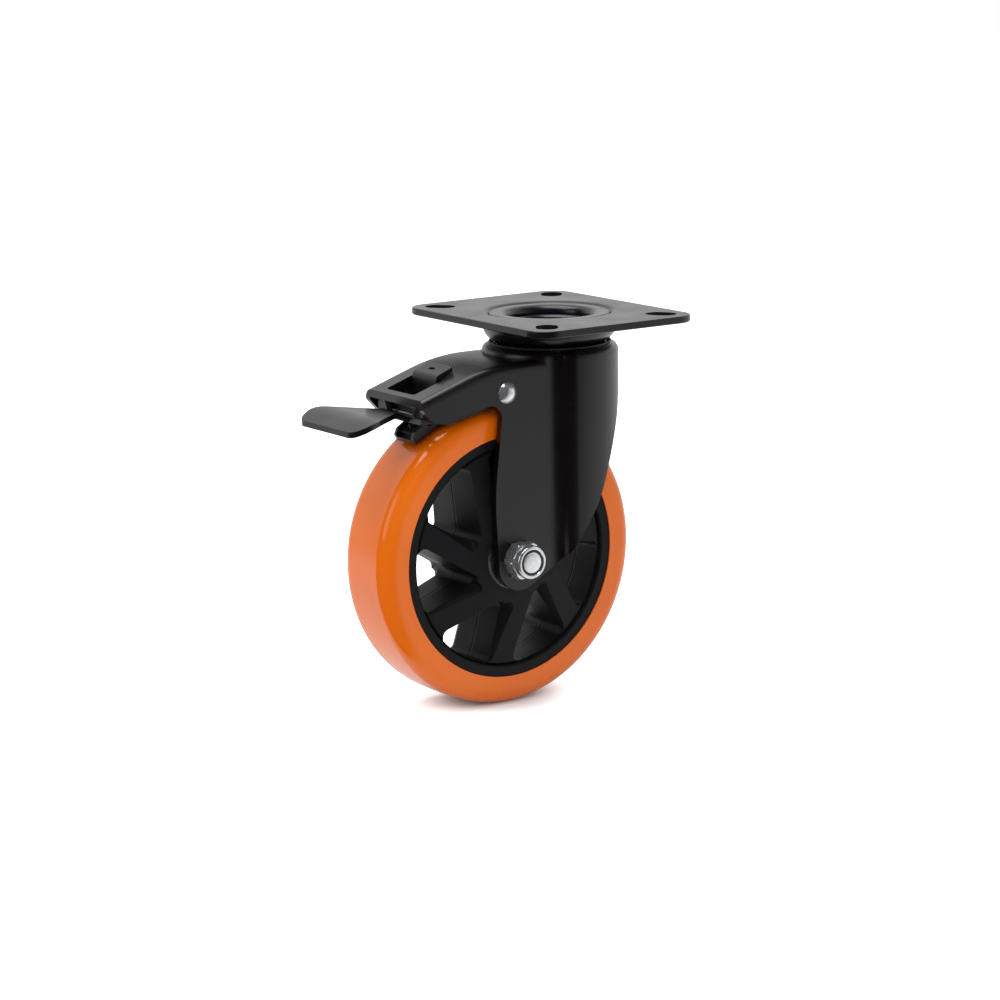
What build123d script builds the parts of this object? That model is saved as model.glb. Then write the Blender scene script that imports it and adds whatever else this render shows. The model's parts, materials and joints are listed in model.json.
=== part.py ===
from build123d import *
import os
from math import acos, atan2, cos, degrees, radians, sin, sqrt, tan

# Swivel castor with a 125 mm wheel and a pedal brake over the trailing side.
# Frame: millimetres, +Z up. The origin is on the swivel axis at the top face of the plate.
# The wheel trails towards -X, and its axle lies along Y.

# ---- Driving dimensions ----

# Top plate and its slots for four bolts, each slot running out along a line from the swivel axis
plate_length = 100.0
plate_width = 80.0
plate_thickness = 3.0
plate_corner_radius = 10.0
plate_edge_round = 0.6
bolt_margin = 10.0
slot_width = 9.0
slot_travel = 4.0

# Ball races of the swivel head
ball_diameter = 5.5
ball_pitch_radius = 21.8
balls_per_race = 24
race_clearance = 0.05
bowl_depth = 9.0
bowl_lip_round = 3.6
bowl_mouth_radius = 20.4

# Hollow kingpin
kingpin_bore_radius = 16.9
kingpin_mouth_radius = 17.8
kingpin_mouth_depth = 7.5
kingpin_mouth_round = 3.2
kingpin_flare_radius = 25.2
kingpin_flare_clearance = 0.35
kingpin_flare_round = 0.8
kingpin_top_drop = 0.5
kingpin_swage_width = 2.6
kingpin_swage_height = 2.0
kingpin_crown_clearance = 0.05

# Fork: one pressed sheet with a round crown, two legs and a hood behind
fork_sheet = 3.0
crown_radius = 28.5
crown_lip_gap = 1.0
crown_shoulder_radius = 3.5
fork_half_width = 21.5
shoulder_start_x = -16.0
shoulder_radius = 6.7
crown_tail_corner_radius = 5.5
roof_drop = 16.4
roof_edge_radius = 3.6
roof_bend_start_x = -31.0
roof_bend_radius = 85.0
roof_slope_angle = 18.3
hood_tail_x = -77.4
hood_tail_height = 4.4
hood_tail_corner_radius = 2.5
hood_chin_reach = 5.2
hood_chin_radius = 3.0
hood_wall_height = 9.8
hood_wall_rise_angle = 9.3
leg_notch_x = -38.6
leg_notch_radius = 5.5
leg_waist_x = -43.4
leg_waist_rise = 27.2
leg_waist_radius = 100.0
leg_foot_x = -41.1
leg_foot_drop = 20.3
leg_foot_radius = 10.7
leg_foot_slope_angle = 29.0
leg_toe_reach = 20.1
leg_toe_radius = 29.0
leg_knee_reach = 36.7
leg_knee_rise = 21.1
leg_front_radius = 60.0
leg_hip_inset = 2.2
leg_hip_height = 8.2
apron_height = 17.4
apron_inset = 7.4
apron_corner_radius = 3.0
seal_clearance = 0.1
seal_width = 0.7
seal_height = 0.7

# Wheel
wheel_diameter = 125.0
tread_width = 32.2
trail = 32.0
wheel_top_drop = 35.0
tyre_shoulder_share = 0.545
tyre_crown = 0.4
rim_radius = 50.55
rim_ring_inner_radius = 45.8
rim_ring_half_width = 15.6
rim_ring_groove_width = 0.9
rim_ring_groove_depth = 1.5
rim_ring_edge = 0.5
rim_rib_height = 2.5
rim_rib_half_width = 5.0
rim_rib_flare = 1.0
spoke_rim_half_width = 14.6
hub_boss_radius = 14.6
hub_half_width = 18.0
window_count = 7
window_first_angle = 32.0
window_outer_radius = 45.0
window_leading_angle = 15.25
window_trailing_angle = 17.8
window_apex_radius = 21.6
window_apex_lead_angle = 27.0
window_corner_radius = 2.8
window_draft_angle = 1.5
window_pocket_half_depth = 12.0
window_pocket_hub_width = 5.0
window_pocket_rim_width = 2.4

# Wheel bearings and axle
bearing_bore_radius = 5.0
bearing_outer_radius = 13.0
bearing_width = 8.0
bearing_ball_diameter = 4.76
bearing_ball_count = 8
bearing_shield_thickness = 0.4
bearing_shield_recess = 0.3
bearing_shield_clearance = 0.15
bearing_land_share = 0.72
bearing_seat_shoulder = 2.2
sleeve_wall = 2.4
axle_hole_clearance = 0.15
bolt_head_across_flats = 17.0
bolt_head_height = 6.4
nut_across_flats = 16.4
nut_hex_height = 6.4
nut_height = 9.7
nut_collar_radius = 7.2
nut_insert_height = 2.2
nut_insert_wall = 1.1
nut_insert_recess = 0.3
bolt_tip_recess = 0.2
bolt_chamfer = 0.8
hexagon_chamfer = 0.3
nut_collar_round = 1.6

# Brake pedal
pivot_x = -36.7
pivot_drop = 28.1
rivet_radius = 3.0
rivet_head_radius = 4.35
rivet_head_height = 2.4
rivet_hole_clearance = 0.08
pivot_spacer_radius = 4.5
pedal_sheet = 2.2
pedal_tip_x = -110.2
pedal_tip_half_width = 20.0
pedal_tip_corner_radius = 6.0
pedal_wide_x = -101.7
pedal_wide_half_width = 25.0
pedal_wide_corner_radius = 7.0
pedal_neck_x = -81.0
pedal_neck_half_width = 6.6
pedal_neck_corner_radius = 9.0
pedal_web_corner_radius = 1.2
pedal_tip_drop = 36.9
pedal_ridge_x = -100.5
pedal_ridge_drop = 32.2
pedal_ridge_radius = 18.0
pedal_neck_drop = 33.3
pedal_neck_bend_radius = 8.0
pedal_web_drop = 35.5
lever_web_front_x = -71.6
lever_web_length = 4.0
lever_plate_outer_y = 16.5
lever_plate_under_x = -62.0
lever_plate_under_drop = 39.0
lever_plate_bend_radius = 8.0
lever_eye_radius = 5.0
lever_back_inset = 1.4
lever_back_lean = 0.6
lever_back_height = 4.6
lever_back_top_width = 4.9
lever_back_foot_width = 7.7
push_pin_radius = 1.8
push_pin_x = -69.4
push_pin_drop = 34.3

# Return spring on the pivot
spring_wire_radius = 0.75
spring_mean_radius = 4.4
spring_turns = 3.5
spring_pitch = 1.75
spring_inner_y = 4.6
spring_start_angle = -90.0
spring_roof_leg = 16.0
spring_pin_clearance = 0.25
spring_roof_clearance = 0.6

# Brake arm and shoe
arm_sheet = 1.8
arm_half_width = 8.6
arm_corner_radius = 2.0
arm_foot_half_width = 4.9
arm_shoulder_length = 2.4
arm_tab_front_x = -54.0
arm_tab_front_clearance = 0.8
arm_tab_clearance = 0.3
arm_bend_radius = 1.8
arm_window_clearance = 0.4
arm_joggle_length = 1.0
arm_joggle_depth = 0.5
arm_knee_drop = 31.5
arm_heel_x = -65.6
arm_heel_radius = 4.0
arm_foot_length = 4.5
arm_neck_drop = 35.5
arm_slit_x = -58.2
arm_slit_y = 1.0
arm_slit_length = 4.2
arm_slit_width = 1.5
window_front_x = -60.7
window_back_x = -74.6
window_half_width = 10.3
window_corner = 1.5
shoe_angle = 122.5
shoe_gap = 1.2
shoe_sheet = 2.0
shoe_half_length = 6.7
shoe_half_width = 7.0
shoe_flange_sheet = 1.6
shoe_flange_height = 4.6
shoe_flange_corner = 1.6
shoe_flange_back_length = 2.6
shoe_rivet_radius = 1.5
shoe_rivet_head_radius = 2.3
shoe_rivet_head_height = 1.0

# ---- Places worked out from those sizes ----

wheel_radius = wheel_diameter / 2
overall_height = wheel_diameter + wheel_top_drop
axle_x = -trail
axle_z = wheel_radius - overall_height
wheel_frame = Plane(origin=(axle_x, 0, axle_z), x_dir=(1, 0, 0), z_dir=(0, -1, 0))

ball_radius = ball_diameter / 2
race_radius = ball_radius + 2 * race_clearance
race_wall_radius = ball_pitch_radius + race_radius
upper_ball_z = -bowl_depth + race_radius - race_clearance
bowl_bottom_z = -bowl_depth - plate_thickness
lower_ball_z = bowl_bottom_z - race_clearance - ball_radius
crown_floor_z = lower_ball_z - race_clearance - ball_radius
crown_under_z = crown_floor_z - fork_sheet
crown_lip_z = bowl_bottom_z - crown_lip_gap
kingpin_outer_radius = ball_pitch_radius - race_radius

fork_inner_y = fork_half_width - fork_sheet
roof_z = -roof_drop
pivot_z = -pivot_drop
pivot_frame = Plane(origin=(pivot_x, 0, pivot_z), x_dir=(1, 0, 0), z_dir=(0, 1, 0))
bearing_inner_y = hub_half_width - bearing_width


# ---- Shapes that several pieces share ----

def outlined(points, radii):
    """A closed outline whose corners have the given radii."""
    return make_face(FilletPolyline(*points, radius=radii, close=True))


def turned(points, radii=None):
    """A full turn about Z of a closed outline given as (radius, height)."""
    corners = radii or [0] * len(points)
    return revolve(Plane.XZ * outlined(points, corners), Axis.Z)


def across(face, half_width):
    """A side view in X and Z, made solid to the same distance on both sides of Y = 0."""
    return extrude(Plane.XZ * face, half_width, both=True)


def ball_ring(count, pitch_radius, radius, height):
    """A ring of separate balls about Z."""
    places = PolarLocations(pitch_radius, count)
    return [Pos(0, 0, height) * place * Sphere(radius) for place in places]


def hexagon(across_flats, bottom, top, chamfer_radius):
    """A hexagon bar along Z, its top corners turned off to a 30 degree cone."""
    flats = Pos(0, 0, bottom) * RegularPolygon(across_flats / 2, 6, major_radius=False)
    bar = extrude(flats, top - bottom)
    corner = across_flats / 2 / cos(radians(30))
    cone_drop = (corner - chamfer_radius) * tan(radians(30))
    points = [(0, bottom), (corner, bottom), (corner, top - cone_drop), (chamfer_radius, top), (0, top)]
    return bar & turned(points)


# ---- Swivel head ----

def bolt_slot(side_x, side_y):
    """One plate slot: its outer end takes a bolt near the plate's corner, and it runs inwards from there."""
    bolt = Vector(side_x * (plate_width / 2 - bolt_margin), side_y * (plate_length / 2 - bolt_margin))
    inner = bolt - bolt.normalized() * slot_travel
    return SlotCenterToCenter(slot_travel, slot_width).moved(
        Location((bolt + inner) / 2, (0, 0, degrees(atan2(bolt.Y, bolt.X))))
    )


def make_top_plate():
    """Flat plate with rounded corners, and a bowl pressed down in it that carries both rings of balls."""
    rim_radius_at_top = race_wall_radius + bowl_lip_round
    join_radius = rim_radius_at_top + 1.0
    outline = RectangleRounded(plate_width, plate_length, plate_corner_radius) - Circle(join_radius)
    for side_x in (-1, 1):
        for side_y in (-1, 1):
            outline -= bolt_slot(side_x, side_y)
    flat = extrude(Pos(0, 0, -plate_thickness) * outline, plate_thickness)
    flat = fillet([edge for edge in flat.edges() if is_plate_rim(edge)], plate_edge_round)
    wall_radius = race_wall_radius + plate_thickness / 2
    middle = FilletPolyline(
        (join_radius, -plate_thickness / 2),
        (wall_radius, -plate_thickness / 2),
        (wall_radius, -bowl_depth - plate_thickness / 2),
        (bowl_mouth_radius, -bowl_depth - plate_thickness / 2),
        radius=[bowl_lip_round - plate_thickness / 2, race_radius + plate_thickness / 2],
    )
    bowl = revolve(Plane.XZ * trace(middle, plate_thickness), Axis.Z)
    return flat + bowl


def is_plate_rim(edge):
    """True for the edges along the plate's own outline, top and bottom."""
    middle = edge @ 0.5
    level = abs(edge.bounding_box().size.Z) < 0.01
    beyond_x = abs(middle.X) > plate_width / 2 - plate_corner_radius / 2
    beyond_y = abs(middle.Y) > plate_length / 2 - plate_corner_radius / 2
    return level and (beyond_x or beyond_y)


def make_kingpin():
    """Hollow kingpin: its flare holds the upper balls down, and its foot is swaged out under the crown."""
    flare_under_z = upper_ball_z + race_radius
    top_z = -kingpin_top_drop
    lip_centre_radius = race_wall_radius + bowl_lip_round
    lip_z = -bowl_lip_round + sqrt(bowl_lip_round**2 - (lip_centre_radius - kingpin_flare_radius) ** 2)
    foot_radius = kingpin_outer_radius + kingpin_swage_width
    foot_z = crown_under_z - kingpin_swage_height
    points = [
        (kingpin_bore_radius, foot_z),
        (foot_radius, foot_z),
        (foot_radius, crown_under_z),
        (kingpin_outer_radius, crown_under_z),
        (kingpin_outer_radius, flare_under_z),
        (race_wall_radius - 2 * kingpin_flare_clearance, flare_under_z),
        (kingpin_flare_radius, lip_z + kingpin_flare_clearance),
        (kingpin_flare_radius, top_z),
        (kingpin_mouth_radius, top_z),
        (kingpin_mouth_radius, top_z - kingpin_mouth_depth),
        (kingpin_bore_radius, top_z - kingpin_mouth_depth),
    ]
    edge = kingpin_flare_round
    return turned(points, [0, edge, 0, 0, race_radius, 0, 0, edge, kingpin_mouth_round, 0, 0])


def make_seal():
    """Ring that lies on the crown's lip, in the gap below the bowl."""
    inner = race_wall_radius + seal_clearance
    points = [
        (inner, crown_lip_z),
        (inner + seal_width, crown_lip_z),
        (inner + seal_width, crown_lip_z + seal_height),
        (inner, crown_lip_z + seal_height),
    ]
    return turned(points)


# ---- Fork ----

def keyhole(inset, tail_x, round_tail):
    """Plan of the fork: the crown's circle in front, then an S-shaped shoulder down to each straight wall.

    inset moves the outline inwards by a sheet's thickness. A round tail closes it on the crown's own circle.
    """
    radius = crown_radius - inset
    wall = fork_half_width - inset
    hollow = Vector(shoulder_start_x, fork_half_width + shoulder_radius)
    reach = crown_radius - shoulder_radius
    along = (reach**2 - (2 * shoulder_radius) ** 2 + hollow.length**2) / (2 * hollow.length)
    aside = sqrt(reach**2 - along**2)
    unit = hollow.normalized()
    bulge = unit * along + Vector(unit.Y, -unit.X) * aside
    turn_point = hollow + (bulge - hollow) * ((shoulder_radius + inset) / (2 * shoulder_radius))
    crown_point = bulge * (radius / reach)
    end_x = -sqrt(radius**2 - wall**2) if round_tail else tail_x
    with BuildLine() as line:
        straight = Line((end_x, wall), (shoulder_start_x, wall))
        outward = TangentArc(straight @ 1, turn_point, tangent=(1, 0))
        TangentArc(turn_point, crown_point, tangent=outward % 1)
        mirror(about=Plane.XZ)
        ThreePointArc(crown_point, (radius, 0), (crown_point.X, -crown_point.Y))
        if round_tail:
            ThreePointArc((end_x, wall), (-radius, 0), (end_x, -wall))
        else:
            Line((end_x, wall), (end_x, -wall))
    plan = make_face(line.line)
    if round_tail:
        corners = plan.vertices().filter_by_position(Axis.X, end_x - 0.01, end_x + 0.01)
        plan = fillet(corners, crown_tail_corner_radius - inset)
    return plan


def below_roof(lowered):
    """Side view of all that lies under the roof line: level by the crown, then bending down to a slope."""
    slope = radians(roof_slope_angle)
    radius = roof_bend_radius - lowered
    centre = Vector(roof_bend_start_x, roof_z - roof_bend_radius)
    start = centre + Vector(0, radius)
    finish = centre + Vector(-sin(slope), cos(slope)) * radius
    run = (finish.X - hood_tail_x) / cos(slope) + 20
    tail = finish + Vector(-cos(slope), -sin(slope)) * run
    floor = -2 * overall_height
    with BuildLine() as line:
        Line((2 * crown_radius, start.Y), start)
        bend = TangentArc(start, finish, tangent=(-1, 0))
        Line(bend @ 1, tail)
        Polyline(tail, (tail.X, floor), (2 * crown_radius, floor), (2 * crown_radius, start.Y))
    return make_face(line.line)


def roof_rim(body):
    """The edges where the roof turns down into the walls."""
    tops = body.faces().filter_by(lambda face: face.normal_at().Z > 0.5)
    shared = ShapeList()
    for edge in body.edges():
        owners = sum(1 for face in tops if any(edge.is_same(other) for other in face.edges()))
        if owners == 1 and edge.center().X > edge_limit_x(body):
            shared.append(edge)
    return shared


def edge_limit_x(body):
    """Just in front of a body's rear end."""
    return body.bounding_box().min.X + 0.1


def fork_form(inset, tail_x, floor_z):
    """Solid of the fork's outer form, or of the space inside it when inset is the sheet's thickness."""
    walls = extrude(keyhole(inset, tail_x, False), floor_z)
    hood = walls & across(below_roof(inset), 2 * crown_radius)
    hood = fillet(roof_rim(hood), roof_edge_radius - inset)
    crown_top_z = crown_lip_z - inset
    crown_foot_z = roof_z - inset - 2 * crown_shoulder_radius
    crown = extrude(Pos(0, 0, crown_foot_z) * keyhole(inset, tail_x, True), crown_top_z - crown_foot_z)
    crown = fillet(crown.edges().group_by(Axis.Z)[-1], crown_shoulder_radius - inset)
    return hood + crown


def fork_side_view():
    """Side view of the whole fork: the hood's tail, the wall's lower edge, the leg and the front apron."""
    over_z = crown_shoulder_radius
    beyond_x = 2 * crown_radius
    tail_z = roof_height(hood_tail_x)
    chin_x = hood_tail_x + hood_chin_reach
    chin_z = tail_z - hood_wall_height
    notch_z = chin_z + (leg_notch_x - chin_x) * tan(radians(hood_wall_rise_angle))
    foot_z = axle_z - leg_foot_drop
    toe_x = axle_x + leg_toe_reach
    toe_z = foot_z + (toe_x - leg_foot_x) * tan(radians(leg_foot_slope_angle))
    apron_x = crown_radius - apron_inset
    apron_z = roof_z - apron_height
    corners = [
        (hood_tail_x, over_z, 0),
        (hood_tail_x, tail_z - hood_tail_height, hood_tail_corner_radius),
        (chin_x, chin_z, hood_chin_radius),
        (leg_notch_x, notch_z, leg_notch_radius),
        (leg_waist_x, axle_z + leg_waist_rise, leg_waist_radius),
        (leg_foot_x, foot_z, leg_foot_radius),
        (toe_x, toe_z, leg_toe_radius),
        (axle_x + leg_knee_reach, axle_z + leg_knee_rise, leg_front_radius),
        (apron_x - leg_hip_inset, apron_z - leg_hip_height, leg_front_radius / 2),
        (apron_x, apron_z, apron_corner_radius),
        (beyond_x, apron_z, 0),
        (beyond_x, over_z, 0),
    ]
    return outlined([(x, z) for x, z, _ in corners], [radius for _, _, radius in corners])


def make_fork():
    """One pressed sheet: crown with its ball race, hood with a window, and two legs down to the axle."""
    outside = fork_form(0, hood_tail_x, -overall_height)
    inside = fork_form(fork_sheet, hood_tail_x - 10, -overall_height)
    shell = outside - inside
    shell &= across(fork_side_view(), 2 * crown_radius)
    rim = race_wall_radius
    bore = kingpin_outer_radius + kingpin_crown_clearance
    collar_points = [
        (bore, crown_under_z),
        (race_wall_radius - fork_sheet / 2, crown_under_z),
        (crown_radius - fork_sheet, crown_under_z + fork_sheet),
        (crown_radius - fork_sheet, crown_lip_z - fork_sheet / 2),
        (bore, crown_lip_z - fork_sheet / 2),
    ]
    shell += turned(collar_points)
    race_points = [
        (0, crown_lip_z + 2),
        (0, crown_floor_z),
        (rim, crown_floor_z),
        (rim, crown_lip_z + 2),
    ]
    shell -= turned(race_points, [0, 0, race_radius, 0])
    shell -= Pos(0, 0, crown_under_z) * Cylinder(bore, 8 * fork_sheet)
    window = Pos((window_front_x + window_back_x) / 2, 0) * RectangleRounded(
        window_front_x - window_back_x, 2 * window_half_width, window_corner
    )
    shell -= extrude(window, -overall_height / 4)
    pivot_hole = Pos(pivot_x, pivot_z) * Circle(rivet_radius)
    shell -= across(pivot_hole, 2 * crown_radius)
    axle_hole = Pos(axle_x, axle_z) * Circle(bearing_bore_radius + axle_hole_clearance)
    shell -= across(axle_hole, 2 * crown_radius)
    return shell


# ---- Wheel, made with its axle along Z ----

def make_rim():
    """Seven-spoked rim: thick spokes that fall away from the hub, a ring for the tyre and two bearing seats."""
    seat_shoulder_radius = bearing_outer_radius - bearing_seat_shoulder
    half_section = [
        (bearing_outer_radius, bearing_inner_y),
        (bearing_outer_radius, hub_half_width),
        (hub_boss_radius, hub_half_width),
        (rim_ring_inner_radius - rim_ring_groove_width, spoke_rim_half_width),
        (rim_ring_inner_radius, spoke_rim_half_width - rim_ring_groove_depth),
        (rim_ring_inner_radius + rim_ring_edge, rim_ring_half_width - rim_ring_edge),
        (rim_ring_inner_radius + 2 * rim_ring_edge, rim_ring_half_width),
        (rim_radius, rim_ring_half_width),
        (rim_radius, rim_rib_half_width + rim_rib_flare),
        (rim_radius + rim_rib_height, rim_rib_half_width),
    ]
    bore = [(seat_shoulder_radius, bearing_inner_y)]
    upper = bore + half_section
    lower = [(radius, -height) for radius, height in reversed(upper)]
    wheel = turned(upper + lower)
    pocket = window_cutter()
    for number in range(window_count):
        wheel -= Rot(0, 0, number * 360 / window_count) * pocket
    return wheel


def window_outline(pocket_share):
    """One window seen along the axle: a swept triangle, its trailing side set in by the pocket's share."""
    apex = Vector(1, 0).rotate(Axis.Z, window_first_angle + window_apex_lead_angle)
    leading = Vector(1, 0).rotate(Axis.Z, window_first_angle - window_leading_angle)
    trailing = Vector(1, 0).rotate(Axis.Z, window_first_angle + window_trailing_angle)
    root = apex * window_apex_radius
    leading_corner = leading * window_outer_radius
    trailing_corner = trailing * window_outer_radius
    side_in = Vector(apex.Y, -apex.X)
    root += side_in * (window_pocket_hub_width * pocket_share)
    trailing_corner += side_in * (window_pocket_rim_width * pocket_share)
    to_leading = (leading_corner - root).normalized()
    to_trailing = (trailing_corner - root).normalized()
    half_turn = acos(to_leading.dot(to_trailing)) / 2
    backwards = (to_leading + to_trailing).normalized()
    tip = root - backwards * (window_corner_radius / sin(half_turn))
    reach = 1.4 * window_outer_radius
    far_leading = tip + to_leading * reach
    far_trailing = tip + to_trailing * reach
    face = make_face(Polyline(tip, far_leading, far_trailing, close=True)) & Circle(window_outer_radius)
    return fillet(face.vertices(), window_corner_radius)


def window_cutter():
    """A window drafted from the middle out to both faces, with a shallow pocket along one side of each face."""
    face_out = 1.05 * hub_half_width
    half = extrude(window_outline(1), face_out, taper=-window_draft_angle)
    through = half + mirror(half, Plane.XY)
    opening = loft([
        Pos(0, 0, window_pocket_half_depth) * window_outline(1),
        Pos(0, 0, face_out) * window_outline(0),
    ])
    return through + opening + mirror(opening, Plane.XY)


def make_tyre():
    """Tread moulded round the rim: slightly crowned across, with rounded shoulders."""
    half = tread_width / 2
    edge_radius = wheel_radius - tyre_crown
    with BuildLine() as line:
        ThreePointArc((edge_radius, -half), (wheel_radius, 0), (edge_radius, half))
        Polyline(
            (edge_radius, half),
            (rim_radius, half),
            (rim_radius, rim_rib_half_width + rim_rib_flare),
            (rim_radius + rim_rib_height, rim_rib_half_width),
            (rim_radius + rim_rib_height, -rim_rib_half_width),
            (rim_radius, -rim_rib_half_width - rim_rib_flare),
            (rim_radius, -half),
            (edge_radius, -half),
        )
    section = make_face(line.line)
    shoulders = section.vertices().filter_by_position(Axis.X, edge_radius - 0.01, edge_radius + 0.01)
    shoulder_radius = tyre_shoulder_share * (edge_radius - rim_radius)
    return revolve(Plane.XZ * fillet(shoulders, shoulder_radius), Axis.Z)


def bearing_parts(side):
    """Inner ring, outer ring, balls and shield of the bearing on one side of the hub."""
    middle = (bearing_inner_y + hub_half_width) / 2
    pitch = (bearing_bore_radius + bearing_outer_radius) / 2
    radius = bearing_ball_diameter / 2
    groove_radius = radius + race_clearance
    land = bearing_land_share * radius
    inner = turned([
        (bearing_bore_radius, bearing_inner_y),
        (pitch - land, bearing_inner_y),
        (pitch - land, fork_inner_y),
        (bearing_bore_radius, fork_inner_y),
    ])
    outer = turned([
        (pitch + land, bearing_inner_y),
        (bearing_outer_radius, bearing_inner_y),
        (bearing_outer_radius, hub_half_width),
        (pitch + land, hub_half_width),
    ])
    groove = Pos(0, 0, middle) * Torus(pitch, groove_radius)
    shield_out = hub_half_width - bearing_shield_recess
    shield = turned([
        (pitch - land + bearing_shield_clearance, shield_out - bearing_shield_thickness),
        (pitch + land, shield_out - bearing_shield_thickness),
        (pitch + land, shield_out),
        (pitch - land + bearing_shield_clearance, shield_out),
    ])
    balls = ball_ring(bearing_ball_count, pitch, radius, middle)
    turn = Rot(180, 0, 0) if side < 0 else Rot(0, 0, 0)
    turned_balls = [turn * ball for ball in balls]
    return turn * (inner - groove), turn * (outer - groove), turned_balls, turn * shield


def make_sleeve():
    """Tube between the two inner rings."""
    sleeve_bore = bearing_bore_radius + axle_hole_clearance
    tube = Cylinder(sleeve_bore + sleeve_wall, 2 * bearing_inner_y)
    return tube - Cylinder(sleeve_bore, 2 * bearing_inner_y)


def make_bolt():
    """Axle bolt: hexagon head against the far leg, plain shank through both bearings, a chamfered tip."""
    tip = fork_half_width + nut_height - bolt_tip_recess
    shank = turned([
        (0, -fork_half_width),
        (bearing_bore_radius, -fork_half_width),
        (bearing_bore_radius, tip - bolt_chamfer),
        (bearing_bore_radius - bolt_chamfer, tip),
        (0, tip),
    ])
    chamfer_radius = bolt_head_across_flats / 2 - hexagon_chamfer
    head = hexagon(bolt_head_across_flats, 0, bolt_head_height, chamfer_radius)
    return shank + Pos(0, 0, -fork_half_width) * Rot(180, 0, 0) * head


def make_nut():
    """Lock nut: a hexagon with a turned collar that grips a plastic ring."""
    bottom = fork_half_width
    top = bottom + nut_height
    chamfer_radius = nut_across_flats / 2 - hexagon_chamfer
    body = hexagon(nut_across_flats, bottom, bottom + nut_hex_height, chamfer_radius)
    collar = turned(
        [
            (0, bottom + nut_hex_height),
            (nut_collar_radius, bottom + nut_hex_height),
            (nut_collar_radius, top),
            (0, top),
        ],
        [0, 0, nut_collar_round, 0],
    )
    nut = body + collar
    nut -= Pos(0, 0, bottom) * Cylinder(bearing_bore_radius, 2 * nut_height)
    return nut - Pos(0, 0, top) * Cylinder(bearing_bore_radius + nut_insert_wall, 2 * nut_insert_height)


def make_nut_insert():
    """Plastic ring seated in the nut's collar, round the bolt's tip."""
    bottom = fork_half_width + nut_height - nut_insert_height
    points = [
        (bearing_bore_radius, bottom),
        (bearing_bore_radius + nut_insert_wall, bottom),
        (bearing_bore_radius + nut_insert_wall, bottom + nut_insert_height - nut_insert_recess),
        (bearing_bore_radius, bottom + nut_insert_height - nut_insert_recess),
    ]
    return turned(points)


# ---- Brake pedal and its pivot ----

def pivot_turned(points, radii=None):
    """A turned piece whose axis is the pedal's pivot. Heights run along Y."""
    return pivot_frame * turned(points, radii)


def make_rivet():
    """Pivot rivet through both walls of the hood, with a domed head on each side."""
    neck = fork_half_width
    crown = rivet_head_height
    dome_radius = (rivet_head_radius**2 + crown**2) / (2 * crown)
    shank = Cylinder(rivet_radius, 2 * neck)
    dome = Pos(0, 0, neck + crown - dome_radius) * Sphere(dome_radius)
    head = dome & Pos(0, 0, neck + crown) * Cylinder(rivet_head_radius, 2 * crown)
    return pivot_frame * (shank + head + mirror(head, Plane.XY))


def make_pivot_spacer(side):
    """Plain bush that keeps the lever's side plate away from the hood's wall."""
    inner = lever_plate_outer_y + rivet_hole_clearance
    outer = fork_inner_y - rivet_hole_clearance
    low, high = (inner, outer) if side > 0 else (-outer, -inner)
    return pivot_turned([
        (rivet_radius + rivet_hole_clearance, low),
        (pivot_spacer_radius, low),
        (pivot_spacer_radius, high),
        (rivet_radius + rivet_hole_clearance, high),
    ])


def pedal_plan():
    """Plan of the pressed lever: wide pad, narrow neck and a web across under the hood."""
    web_back_x = lever_web_front_x - lever_web_length
    corners = [
        (pedal_tip_x, pedal_tip_half_width, pedal_tip_corner_radius),
        (pedal_wide_x, pedal_wide_half_width, pedal_wide_corner_radius),
        (pedal_neck_x, pedal_neck_half_width, pedal_neck_corner_radius),
        (web_back_x, pedal_neck_half_width, pedal_web_corner_radius),
        (web_back_x, lever_plate_outer_y, 0),
        (lever_web_front_x, lever_plate_outer_y, 0),
    ]
    corners += [(x, -y, radius) for x, y, radius in reversed(corners)]
    return outlined([(x, y) for x, y, _ in corners], [radius for _, _, radius in corners])


def make_pedal():
    """Brake pedal: one sheet, its pad bent down to the rear, with two side plates bent up to the pivot."""
    middle = pedal_sheet / 2
    section = FilletPolyline(
        (pedal_tip_x - middle, -pedal_tip_drop - middle),
        (pedal_ridge_x, -pedal_ridge_drop - middle),
        (pedal_neck_x, -pedal_neck_drop - middle),
        (lever_web_front_x - lever_web_length, -pedal_web_drop - middle),
        (lever_web_front_x + middle, -pedal_web_drop - middle),
        radius=[pedal_ridge_radius, pedal_neck_bend_radius, pedal_sheet],
    )
    sheet = across(trace(section, pedal_sheet), 2 * pedal_wide_half_width)
    pedal = sheet & extrude(pedal_plan(), -overall_height)
    plate = lever_side_plate() + lever_back_flange()
    pedal += plate + mirror(plate, Plane.XZ)
    pivot_hole = Pos(pivot_x, pivot_z) * Circle(rivet_radius + rivet_hole_clearance)
    pin_hole = Pos(push_pin_x, -push_pin_drop) * Circle(push_pin_radius)
    return pedal - across(pivot_hole + pin_hole, 2 * lever_plate_outer_y)


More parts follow.
